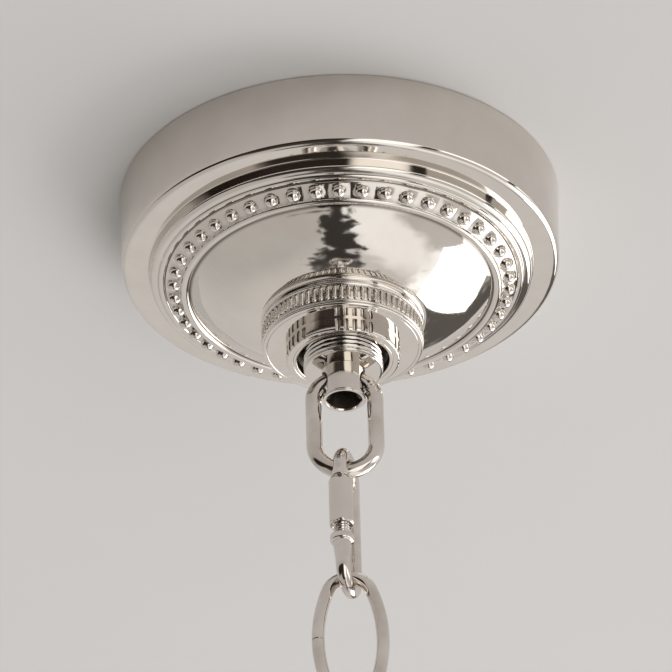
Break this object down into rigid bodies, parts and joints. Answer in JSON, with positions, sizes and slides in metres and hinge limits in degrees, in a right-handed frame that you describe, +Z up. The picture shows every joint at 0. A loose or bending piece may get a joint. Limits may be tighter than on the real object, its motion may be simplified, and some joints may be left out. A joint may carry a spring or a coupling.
{
  "type": "chandelier ceiling canopy with chain links",
  "caption": "Round polished ceiling canopy with beaded ring, screw collar, threaded loop barrel with wire way, and hanging chain links joined by a threaded quick link.",
  "frame": {"origin": "on the canopy's axis in the ceiling plane, midway between the two box screws", "axes": "+Z up into the ceiling, +X along the mounting bar and the flat of the top link, -Y towards the viewer"},
  "size_m": [0.136, 0.136, 0.2001],
  "materials": {
    "nickel_spun": "polished nickel plate on spun sheet, faint waviness",
    "nickel_turned": "polished nickel plate on turned brass",
    "nickel_wire": "polished nickel plate on bent wire",
    "zinc_steel": "zinc plated pressed steel",
    "brass": "plain turned brass",
    "green_screw": "green dyed screw",
    "black_plastic": "moulded bushing",
    "black_steel": "blackened set screw"
  },
  "bodies": {
    "mount": {"crossbar": "zinc_steel", "box_screws": "zinc_steel", "ground_screw": "green_screw", "ground_washer": "zinc_steel", "threaded_nipple": "brass", "upper_nut": "brass", "upper_lock_washer": "zinc_steel", "lower_nut": "brass", "lower_lock_washer": "zinc_steel", "wire_bushing": "black_plastic", "barrel_lock_nut": "brass", "set_screw": "black_steel", "loop_barrel": "nickel_turned", "wireway_tube": "nickel_turned"},
    "canopy": {"canopy_shell": "nickel_spun", "seat_disc": "nickel_turned"},
    "collar": {"collar_ring": "nickel_turned"},
    "top_link": {"top_link": "nickel_wire"},
    "quick_link": {"quick_link_body": "nickel_wire"},
    "sleeve_nut": {"quick_link_nut": "nickel_turned"},
    "oval_link": {"oval_link": "nickel_wire"}
  },
  "joints": [
    {"name": "canopy_drop", "type": "slide", "parent": "mount", "child": "canopy", "axis": [0, 0, -1], "range_m": [0, 0.0096]},
    {"name": "collar_turn", "type": "hinge", "parent": "canopy", "child": "collar", "pos_m": [0, 0, -0.056], "axis": [0, 0, -1], "range_deg": [0, 2304.1]},
    {"name": "top_link_swing", "type": "hinge", "parent": "mount", "child": "top_link", "pos_m": [0, 0, -0.0674], "axis": [1, 0, 0], "range_deg": [-20, 20]},
    {"name": "quick_link_swing", "type": "hinge", "parent": "top_link", "child": "quick_link", "pos_m": [0, 0, -0.09355], "axis": [0.2756, 0.9613, 0], "range_deg": [-40, 40]},
    {"name": "sleeve_nut_travel", "type": "slide", "parent": "quick_link", "child": "sleeve_nut", "axis": [0, 0, 1], "range_m": [-0.0032, 0.0044]},
    {"name": "oval_link_swing", "type": "hinge", "parent": "quick_link", "child": "oval_link", "pos_m": [0, 0, -0.13595], "axis": [1, 0, 0], "range_deg": [-40, 40]}
  ],
  "couplings": [
    {"joint": "collar_turn", "follows": "canopy_drop", "rad_per_m": 4188.8}
  ]
}
